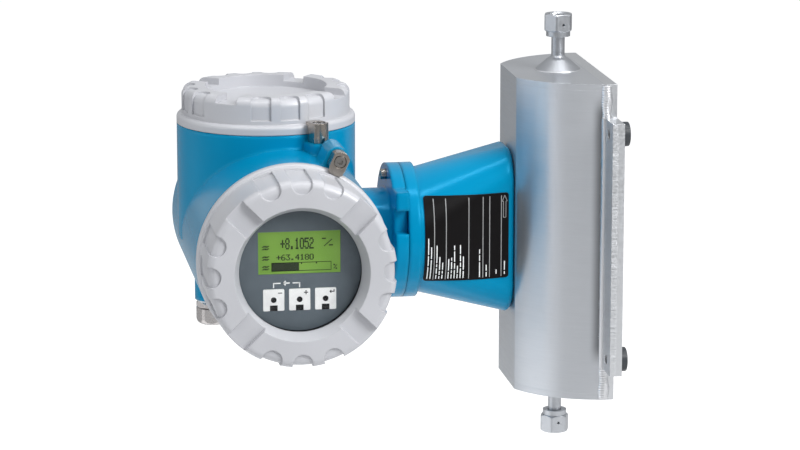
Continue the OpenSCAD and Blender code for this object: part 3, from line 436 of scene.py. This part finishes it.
THREAD_R, THREAD_PITCH = 6.7 * MM, 1.41 * MM      # the bore of the nuts and its 18 turns to the inch
SEAM_MIDDLE, SEAM_HALF = 8 * MM, 92 * MM          # the stretch of the seams that the painted shade darkens
SEAM_FADE, SEAM_REACH = 16 * MM, 9 * MM           # how it fades along the seam, and how wide it is
plate_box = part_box("back_plate")
sheet_steel, sheet_tree, sheet_shader = steel("brushed_stainless_sheet", "cdd0d5", 0.34, 1.3,
                                              (0.06, 0.06, 1.0), 0.0008, spread=0.04)
brushed_round(sheet_tree, sheet_shader, plate_box[0].x)
plate_steel, plate_tree, plate_shader = steel("blasted_stainless_plate", "d6d8db", 0.38, 1.4, depth=0.05,
                                              spread=0.1)
laser_cut(plate_tree, plate_shader, plate_box[0].x, plate_box[1].x - plate_box[0].x,
          plate_box[1].y - 0.5 * MM)
turned_steel = steel("turned_stainless", "b9bcc1", 0.36, 1.5, (0.2, 0.2, 1.0), 0.0008)[0]
nut_steel, nut_tree, nut_shader = steel("satin_stainless", "c2c5ca", 0.33, 1.0, (1, 1, 0.15), 0.003)
threaded(nut_tree, nut_shader, pipe_axis.x, THREAD_R, THREAD_PITCH)
plated_brass = steel("nickel_plated_brass", "c4c0bf", 0.3, 1.5, depth=0.003)[0]
claw_steel = steel("cast_stainless_clamp", "aaa39b", 0.2, 2.5, depth=0.03, spread=0.08)[0]
screw_steel = steel("zinc_plated_screw", "9d9a96", 0.22, 0.8, depth=0.004)[0]
inner_steel = steel("plain_steel", "a9adb4", 0.4, 1.5)[0]
brass = steel("plain_brass", "b59a5a", 0.3)[0]
give(sheet_steel, "sensor_shell", "end_plates")
give(plate_steel, "back_plate")
give(turned_steel, "upper_stub", "lower_stub")
give(nut_steel, "upper_nut", "lower_nut")
give(screw_steel, "swivel_screws", "claw_screws")
give(plated_brass, "gland_bodies", "left_gland_nut", "right_gland_nut")
give(claw_steel, "front_claw", "top_claw")
give(inner_steel, "measuring_tube", "tube_carrier", "tube_magnets", "signal_feedthrough")
give(brass, "earth_terminal")
print("back plate:", round((plate_box[1].x - plate_box[0].x) / MM, 1), "mm thick")

# %% [markdown]
# ### Rubber, plastics and glass
# Moulded rubber is dull, moulded plastic has a satin grain, and the infrared windows of the keys are
# polished. They differ in colour and gloss only, so one function makes them all, each with a fine
# grain and a faint change of shade. The liquid crystal is a satin film lit from behind. The window
# is toughened glass, a solid pane that is nearly clear and mirrors the tent.

# %% Plain materials


def shade(hex_colour, factor):
    """Makes an sRGB colour darker or paler by a factor."""
    values = [min(255, round(int(hex_colour[i:i + 2], 16) * factor)) for i in (0, 2, 4)]
    return "".join(f"{value:02x}" for value in values)


def plastic(name, base, roughness=0.45, grain_mm=0.8, depth=0.01, shine=0.5):
    """A moulded or printed finish: a fine grain on the surface and a faint change of shade."""
    material, tree, shader = new_material(name, base, roughness=roughness, Specular_IOR_Level=shine)
    tint(tree, shader, span(tree, grain(tree, 9 * grain_mm), 0, 1), shade(base, 0.97), shade(base, 1.02))
    relief(tree, shader, grain(tree, grain_mm), depth, 0.5, 0.2)
    return material


# moulded rubber drinks the light, and the wall spacers are a harder, slightly glossy rubber
rubber = plastic("black_rubber", "1a1a1b", 0.7)
spacer = plastic("dark_spacer", "34383d", 0.4)
# moulded plastic: an even satin
dark_plastic = plastic("dark_moulded_plastic", "2a2c2f", 0.5)
faceplate = plastic("grey_faceplate", "5d6870", 0.5)
green_plastic = plastic("terminal_plastic", "2f7a4a", 0.5)
ivory = plastic("light_plastic", "e6e6e6", 0.5)
# screen-printed ink: flat colour with hardly any gloss, and dark green where the crystal blocks light
white_print = plastic("white_print", "f8faf9", 0.45)
grey_print = plastic("grey_print", "9b9c9c", 0.45)
dark_print = plastic("dark_print", "2a2e31", 0.5)
screen_print = plastic("screen_print", "1f2d14", 0.5)
# a polished window that passes only infrared: almost black, with clear reflections
lens_plastic = plastic("infrared_window", "141618", 0.15)
# epoxy laminate under green lacquer, and wire in brown enamel: both a little shiny
board = plastic("board_laminate", "14502a", 0.4)
copper = plastic("enamelled_copper", "8a4a20", 0.35)
# printed foil with a matt coat: deep black with few reflections
nameplate_black = plastic("black_foil", "0e0c0d", 0.35, shine=0.12)
give(rubber, "port_seals", "swivel_seal", "front_cover_seal", "top_cover_seal", "window_gasket",
     "gland_grommets")
give(spacer, "wall_spacers")
give(dark_plastic, "display_case", "electronics_carrier", "window_ring")
give(faceplate, "display_faceplate")
give(white_print, "key_fields")
give(lens_plastic, "key_windows")
give(board, "power_board", "amplifier_board", "io_board")
give(green_plastic, "terminal_block")
give(ivory, "temperature_sensor", "gland_seals")
give(copper, "drive_coil", "pickup_coils")
give(nameplate_black, "nameplate")

lcd, lcd_tree, lcd_shader = new_material("green_liquid_crystal", "6c9639", roughness=0.35)
tint(lcd_tree, lcd_shader, span(lcd_tree, grain(lcd_tree, 22, 1.0), 0, 1), "679035", "769d40")
lcd_shader.inputs["Emission Color"].default_value = srgb("6c9639")
lcd_shader.inputs["Emission Strength"].default_value = 0.2
give(lcd, "lcd_panel")

glass, glass_tree, glass_shader = new_material("toughened_glass", "10181c", roughness=0.03, Alpha=0.03)
relief(glass_tree, glass_shader, grain(glass_tree, 30, 1.0), 0.01, 0.2)
give(glass, "cover_window")
print(len(bpy.data.materials), "materials so far")

# %% [markdown]
# ## Fine pieces
# What is too thin for the CAD model is laid on it here: print, a screen full of figures, and weld
# beads. Print could be an image, but real strokes stay sharp from near and need no file. Straight
# strokes are cubes, added at their size and place to one mesh in edit mode. Strokes on a curved
# plate and rippled beads follow a formula at every point, so their meshes are written directly.

# %% Piece helpers


def new_piece(name):
    """An empty piece at the origin, alone in the selection."""
    piece = bpy.data.objects.new(name, bpy.data.meshes.new(name))
    bpy.context.collection.objects.link(piece)
    bpy.ops.object.select_all(action="DESELECT")
    piece.select_set(True)
    bpy.context.view_layer.objects.active = piece
    return piece


def dress_piece(piece, material, body):
    """Gives a finished piece its material, and has it ride on a body."""
    piece.data.materials.append(material)
    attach(piece, body)
    print(piece.name, "has", len(piece.data.polygons), "faces and rides on", body)


def add_block(low, high):
    """Adds a box between two corners to the piece in edit mode."""
    low, high = Vector(low), Vector(high)
    bpy.ops.mesh.primitive_cube_add(size=1, calc_uvs=False, location=(low + high) / 2, scale=high - low)


def add_stroke(start, end, thick, front):
    """Adds a flat stroke between two places (x, z) to the piece in edit mode."""
    start, end = Vector(start), Vector(end)
    x, z = (start + end) / 2
    along = end - start
    bpy.ops.mesh.primitive_cube_add(size=1, calc_uvs=False, location=(x, front - PRINT_T / 2, z),
                                    rotation=(0, math.atan2(-along.y, along.x), 0),
                                    scale=(along.length, PRINT_T, thick))


# %% [markdown]
# ### The screen
# A liquid crystal draws its figures in dots. Each figure is seven rows of five dots, written here
# as seven short words, because a font would give smooth letters. The first line is twice as tall
# as the second, and a bar below them shows how full the measuring range is. The figures are made up.

# %% Screen
FIGURES = {
    "0": "01110 10001 10001 10001 10001 10001 01110",
    "1": "00100 01100 00100 00100 00100 00100 01110",
    "2": "01110 10001 00001 00110 01000 10000 11111",
    "3": "11111 00010 00100 00010 00001 10001 01110",
    "4": "00010 00110 01010 10010 11111 00010 00010",
    "5": "11111 10000 11110 00001 00001 10001 01110",
    "6": "00110 01000 10000 11110 10001 10001 01110",
    "8": "01110 10001 10001 01110 10001 10001 01110",
    "+": "00000 00100 00100 11111 00100 00100 00000",
    ".": "00000 00000 00000 00000 00000 01100 01100",
    "%": "11000 11001 00010 00100 01000 10011 00011",
    "wave": "00000 01101 10110 00000 01101 10110 00000",
}
DOT_FLOW = 0.6           # how far a run of dots bleeds to the right, in cells
DOT_H = 0.97             # height of a dot, in cells


def add_figure(figure, left, top, cell_w, cell_h, front):
    """Adds the dots of one figure, joined along each row."""
    for row, bits in enumerate(FIGURES[figure].split()):
        column = 0
        while column < len(bits):
            run = len(bits[column:]) - len(bits[column:].lstrip("1"))
            if run:
                x, z = left + column * cell_w, top - (row + 1) * cell_h
                far = (x + (run + DOT_FLOW) * cell_w, front, z + cell_h * DOT_H)
                add_block((x, front - PRINT_T, z), far)
            column += max(run, 1)


def add_line(text, left, top, width, height, front):
    """Adds a line of figures that fills a width."""
    cell_w, cell_h = width / (6 * len(text) - 1), height / 7
    for place, figure in enumerate(text):
        add_figure(figure, left + place * 6 * cell_w, top, cell_w, cell_h, front)


def make_screen():
    """Lays the figures, the signs and the bar on the screen. Places are shares of its size."""
    low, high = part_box("lcd_panel")
    width, height, front = high.x - low.x, high.z - low.z, low.y

    def at(across, down):
        """The place on the screen at these shares of its width and height."""
        return low.x + across * width, high.z - down * height

    figures = new_piece("screen_figures")
    bpy.ops.object.mode_set(mode="EDIT")
    x, z = at(0.27, 0.15)
    add_line("+8.1052", x, z, 0.40 * width, 0.27 * height, front)
    x, z = at(0.22, 0.54)
    add_line("+63.4180", x, z, 0.45 * width, 0.14 * height, front)
    for down in (0.3, 0.55, 0.78):
        x, z = at(0.045, down)
        add_figure("wave", x, z, 0.016 * width, 0.02 * height, front)
    x, z = at(0.915, 0.8)
    add_figure("%", x, z, 0.008 * width, 0.018 * height, front)
    # a slash between two short strokes stands for the unit
    for step in range(7):
        x, z = at(0.80 + 0.014 * step, 0.37 - 0.024 * step)
        add_block((x, front - PRINT_T, z), (x + 0.016 * width, front, z + 0.026 * height))
    for across, down in ((0.775, 0.2), (0.86, 0.36)):
        x, z = at(across, down)
        add_block((x, front - PRINT_T, z), (x + 0.05 * width, front, z + 0.03 * height))
    # bar: a frame with marks, filled over its first part
    x0, z0 = at(0.16, 0.94)
    x1, z1 = at(0.89, 0.73)
    rim = 0.008 * width
    filled_x = x0 + 0.46 * (x1 - x0)
    frame_parts = ((x0, z0, x1, z0 + rim), (x0, z1 - rim, x1, z1), (x0, z0, x0 + rim, z1),
                   (x1 - rim, z0, x1, z1), (x0, z0, filled_x, z1))
    for low_x, low_z, high_x, high_z in frame_parts:
        add_block((low_x, front - PRINT_T, low_z), (high_x, front, high_z))
    for share in (0.5, 0.75):
        x = x0 + share * (x1 - x0)
        add_block((x - rim, front - PRINT_T, z1 - 3 * rim), (x + rim, front, z1))
    bpy.ops.object.mode_set(mode="OBJECT")
    dress_piece(figures, screen_print, "display")


make_screen()

# %% [markdown]
# ### Key marks
# Each optical key carries a small mark in its upper right corner: less, more and enter. A thin
# bracket joins the first two, because pressed together they go back. The real marks are screen
# printed with sharp, even strokes, and all of these are straight.

# %% Key marks


def make_key_marks():
    """Draws the three marks on the keys, and the bracket over the first two."""
    low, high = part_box("key_fields")
    key_h = high.z - low.z
    key_w = key_h - 0.5 * MM
    pitch = (high.x - low.x - key_w) / 2
    middles = [low.x + key_w / 2 + i * pitch for i in range(3)]
    marks = new_piece("key_marks")
    bpy.ops.object.mode_set(mode="EDIT")
    reach, thick, front = 0.1 * key_w, 0.045 * key_w, low.y
    z = high.z - 0.18 * key_h
    for middle_x, mark in zip(middles, ("less", "more", "enter")):
        x = middle_x + 0.3 * key_w
        if mark != "enter":
            add_stroke((x - reach, z), (x + reach, z), thick, front)
        if mark == "more":
            add_stroke((x, z - reach), (x, z + reach), thick, front)
        if mark == "enter":
            add_stroke((x + reach, z + reach), (x + reach, z), thick, front)
            add_stroke((x + reach + thick / 2, z), (x - reach, z), thick, front)
            for side in (-1, 1):
                add_stroke((x - reach, z), (x - reach * 0.3, z + side * reach * 0.6), thick, front)
    bpy.ops.object.mode_set(mode="OBJECT")
    dress_piece(marks, dark_print, "display")

    bracket = new_piece("key_bracket")
    bpy.ops.object.mode_set(mode="EDIT")
    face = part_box("display_faceplate")[0].y
    foot, top = high.z + 0.06 * key_h, high.z + 0.27 * key_h
    thick = 0.055 * key_w
    left, right = middles[0], middles[1]
    for x in (left, right):
        add_stroke((x, foot), (x, top + thick / 2), thick, face)
    add_stroke((left, top), (left + 0.27 * pitch, top), thick, face)
    add_stroke((right - 0.27 * pitch, top), (right, top), thick, face)
    # a small arrow that turns back stands in the gap of the bracket
    x = (left + right) / 2
    reach = 0.12 * pitch
    thick *= 1.2
    add_stroke((x - reach, top), (x + reach, top), thick, face)
    for side in (-1, 1):
        add_stroke((x - reach, top), (x - reach * 0.3, top + side * reach * 0.7), thick, face)
    bpy.ops.object.mode_set(mode="OBJECT")
    dress_piece(bracket, white_print, "display")


make_key_marks()

# %% [markdown]
# ### Nameplate
# The plate is bare of words. Fine rules divide it, short strokes stand where its lines of print
# would be, and an outlined arrow shows the way of the flow. The foil is curved, so a straight box
# would sink into it. Every stroke is therefore a row of points dropped on it from the front.

# %% Nameplate print
foil = nodes["nameplate"].data
foil_surface = BVHTree.FromPolygons([v.co for v in foil.vertices], [p.vertices for p in foil.polygons])


def on_plate(x, z):
    """The point of the nameplate's front above a place, lifted by the thickness of the print."""
    hit = foil_surface.ray_cast(Vector((x, cad_box[0].y, z)), Vector((0, 1, 0)))
    return hit[0] + Vector((0, -PRINT_T, 0)) if hit[0] else None


def add_strip(mesh_data, start, end, thick):
    """Lays a flat stroke between two places (x, z) on the curved plate."""
    start, end = Vector(start), Vector(end)
    along = (end - start).normalized()
    side = Vector((-along.y, along.x)) * thick / 2
    count = max(1, round((end - start).length / MM))  # a row of points for each millimetre
    rows = []
    for i in range(count + 1):
        point = start.lerp(end, i / count)
        pair = [on_plate(*(point + side)), on_plate(*(point - side))]
        if None not in pair:
            rows.append([mesh_data.verts.new(p) for p in pair])
    for first, second in zip(rows, rows[1:]):
        mesh_data.faces.new((first[0], first[1], second[1], second[0]))


def fill_piece(name, mesh_data, material, body, smooth=False):
    """Makes a piece of a bmesh, and frees the bmesh."""
    piece = new_piece(name)
    mesh_data.to_mesh(piece.data)
    mesh_data.free()
    if smooth:
        piece.data.shade_smooth()
    dress_piece(piece, material, body)


def make_nameplate():
    """Draws the rules, the arrow and the strokes of print. Places are shares of the plate's size."""
    low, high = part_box("nameplate")
    width, height = high.x - low.x, high.z - low.z

    def at(across, up):
        """The place on the plate at these shares of its width and height."""
        return low.x + across * width, low.z + up * height

    rules, strokes = bmesh.new(), bmesh.new()
    for across in (0.11, 0.25, 0.52, 0.69, 0.77, 0.91):
        add_strip(rules, at(across, 0.02), at(across, 0.97), 0.55 * MM)
    # the outlined arrow points up, the way of the flow
    corners = [(0.935, 0.71), (0.935, 0.9), (0.92, 0.9), (0.95, 0.97), (0.98, 0.9), (0.965, 0.9),
               (0.965, 0.71), (0.935, 0.71)]
    for start, end in zip(corners, corners[1:]):
        add_strip(rules, at(*start), at(*end), 0.4 * MM)
    fill_piece("nameplate_rules", rules, grey_print, "sensor")

    # columns of strokes: place across, how far up they start, and how long each is
    lines = ((0.04, 0.03, (9, 7, 11)), (0.075, 0.03, (14, 8)), (0.14, 0.03, (3, 4, 2, 12)),
             (0.175, 0.03, (2, 3, 9)), (0.21, 0.03, (3, 2, 5)), (0.28, 0.03, (5, 8)),
             (0.315, 0.03, (3, 2, 5, 2)), (0.35, 0.03, (6, 4, 7, 3)), (0.385, 0.03, (3, 5)),
             (0.42, 0.03, (7, 3, 4, 6)), (0.455, 0.03, (5, 9)), (0.65, 0.03, (10, 4, 3)),
             (0.73, 0.03, (3, 4)), (0.85, 0.05, (3,)), (0.95, 0.04, (2, 6)))
    for across, up, lengths in lines:
        for length in lengths:
            top = up + length * MM / height
            add_strip(strokes, at(across, up), at(across, top), 0.65 * MM)
            up = top + 0.9 * MM / height
    fill_piece("nameplate_print", strokes, white_print, "sensor")


make_nameplate()

# %% [markdown]
# ### Weld beads
# A hand-made weld is a row of small frozen pools, each a bow that points along the seam. A bump
# pattern would leave its outline straight, so the bead is a rod whose radius swells and shrinks,
# with the swelling set back at its sides. Slower lumps show that a hand led the torch. The metal
# froze bright, with an uneven gloss. One bead runs down each corner between the shell and the
# plate, and thin ones go round the bosses.

# %% Weld beads
RIPPLE = 1.6 * MM    # from one frozen pool to the next
BOW = 0.8 * MM       # how far the sides of a pool lag behind its middle
STEP = RIPPLE / 6    # from one ring of a rod to the next
RING = 10            # points in a ring
# slower swellings of a bead by hand: how strong, how long, and how they turn round the rod
UNEVEN = ((0.07, 3.1 * MM, 0), (0.04, 1.9 * MM, 2))


def rippled(distance, lag):
    """Height of a bead at a distance along its seam, from 0 to 1."""
    return 0.5 + 0.5 * math.sin(math.tau * (distance - lag) / RIPPLE)


def add_bead(mesh_data, path, normal, radius, swell):
    """Adds a rippled rod along a path of points. Its pools bow in the plane of the normal."""
    rings = []
    distance = 0
    for i, point in enumerate(path):
        if i:
            distance += (point - path[i - 1]).length
        ahead = (path[min(i + 1, len(path) - 1)] - path[max(i - 1, 0)]).normalized()
        across = ahead.cross(normal).normalized()
        ring = []
        for side in range(RING):
            angle = math.tau * side / RING
            pool = swell * rippled(distance, BOW * (1 - math.cos(angle)))
            lumps = sum(share * math.sin(distance / length + turns * angle)
                        for share, length, turns in UNEVEN)
            outward = normal * math.cos(angle) + across * math.sin(angle)
            ring.append(mesh_data.verts.new(point + radius * (1 + pool + lumps) * outward))
        rings.append(ring)
    for first, second in zip(rings, rings[1:]):
        for side in range(RING):
            after = (side + 1) % RING
            mesh_data.faces.new((first[side], first[after], second[after], second[side]))
    mesh_data.faces.new(rings[0][::-1])
    mesh_data.faces.new(rings[-1])


def make_welds():
    """Lays a bead down each corner of the shell and a thin one round each boss."""
    weld_steel = steel("bright_weld_metal", "dcdde0", 0.38, 2.0, depth=0.02, spread=0.08)[0]
    give(weld_steel, "weld_beads")
    shell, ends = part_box("sensor_shell"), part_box("end_plates")
    corners = bmesh.new()
    corner_x, corner_y = plate_box[0].x + 1.4 * MM, -shell[0].y - 1.5 * MM
    count = round((ends[1].z - ends[0].z - 2 * MM) / STEP)
    for side in (-1, 1):
        path = [Vector((corner_x, side * corner_y, ends[0].z + MM + i * STEP)) for i in range(count + 1)]
        add_bead(corners, path, Vector((-1, side, 0)).normalized(), 3.7 * MM, 0.08)
    fill_piece("corner_welds", corners, weld_steel, "sensor", smooth=True)

    rings = bmesh.new()
    for name, z in (("upper_stub", ends[1].z), ("lower_stub", ends[0].z)):
        low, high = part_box(name)
        reach = (high.y - low.y) / 2 - 0.1 * MM
        turns = round(math.tau * reach / STEP)
        angles = [math.tau * i / turns for i in range(turns + 1)]
        path = [Vector((pipe_axis.x + reach * math.cos(a), reach * math.sin(a), z)) for a in angles]
        add_bead(rings, path, Vector((0, 0, math.copysign(1, z))), 0.5 * MM, 0.1)
    fill_piece("boss_welds", rings, weld_steel, "sensor", smooth=True)


make_welds()

# %% [markdown]
# ## The end
# The box of the dressed model is measured, and how much it has grown beyond the CAD model is printed.

# %% Sizes and finish
visual_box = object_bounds()
growth = (visual_box[1] - visual_box[0]) - (cad_box[1] - cad_box[0])
print("grown by", [round(v / MM, 1) for v in growth], "mm")
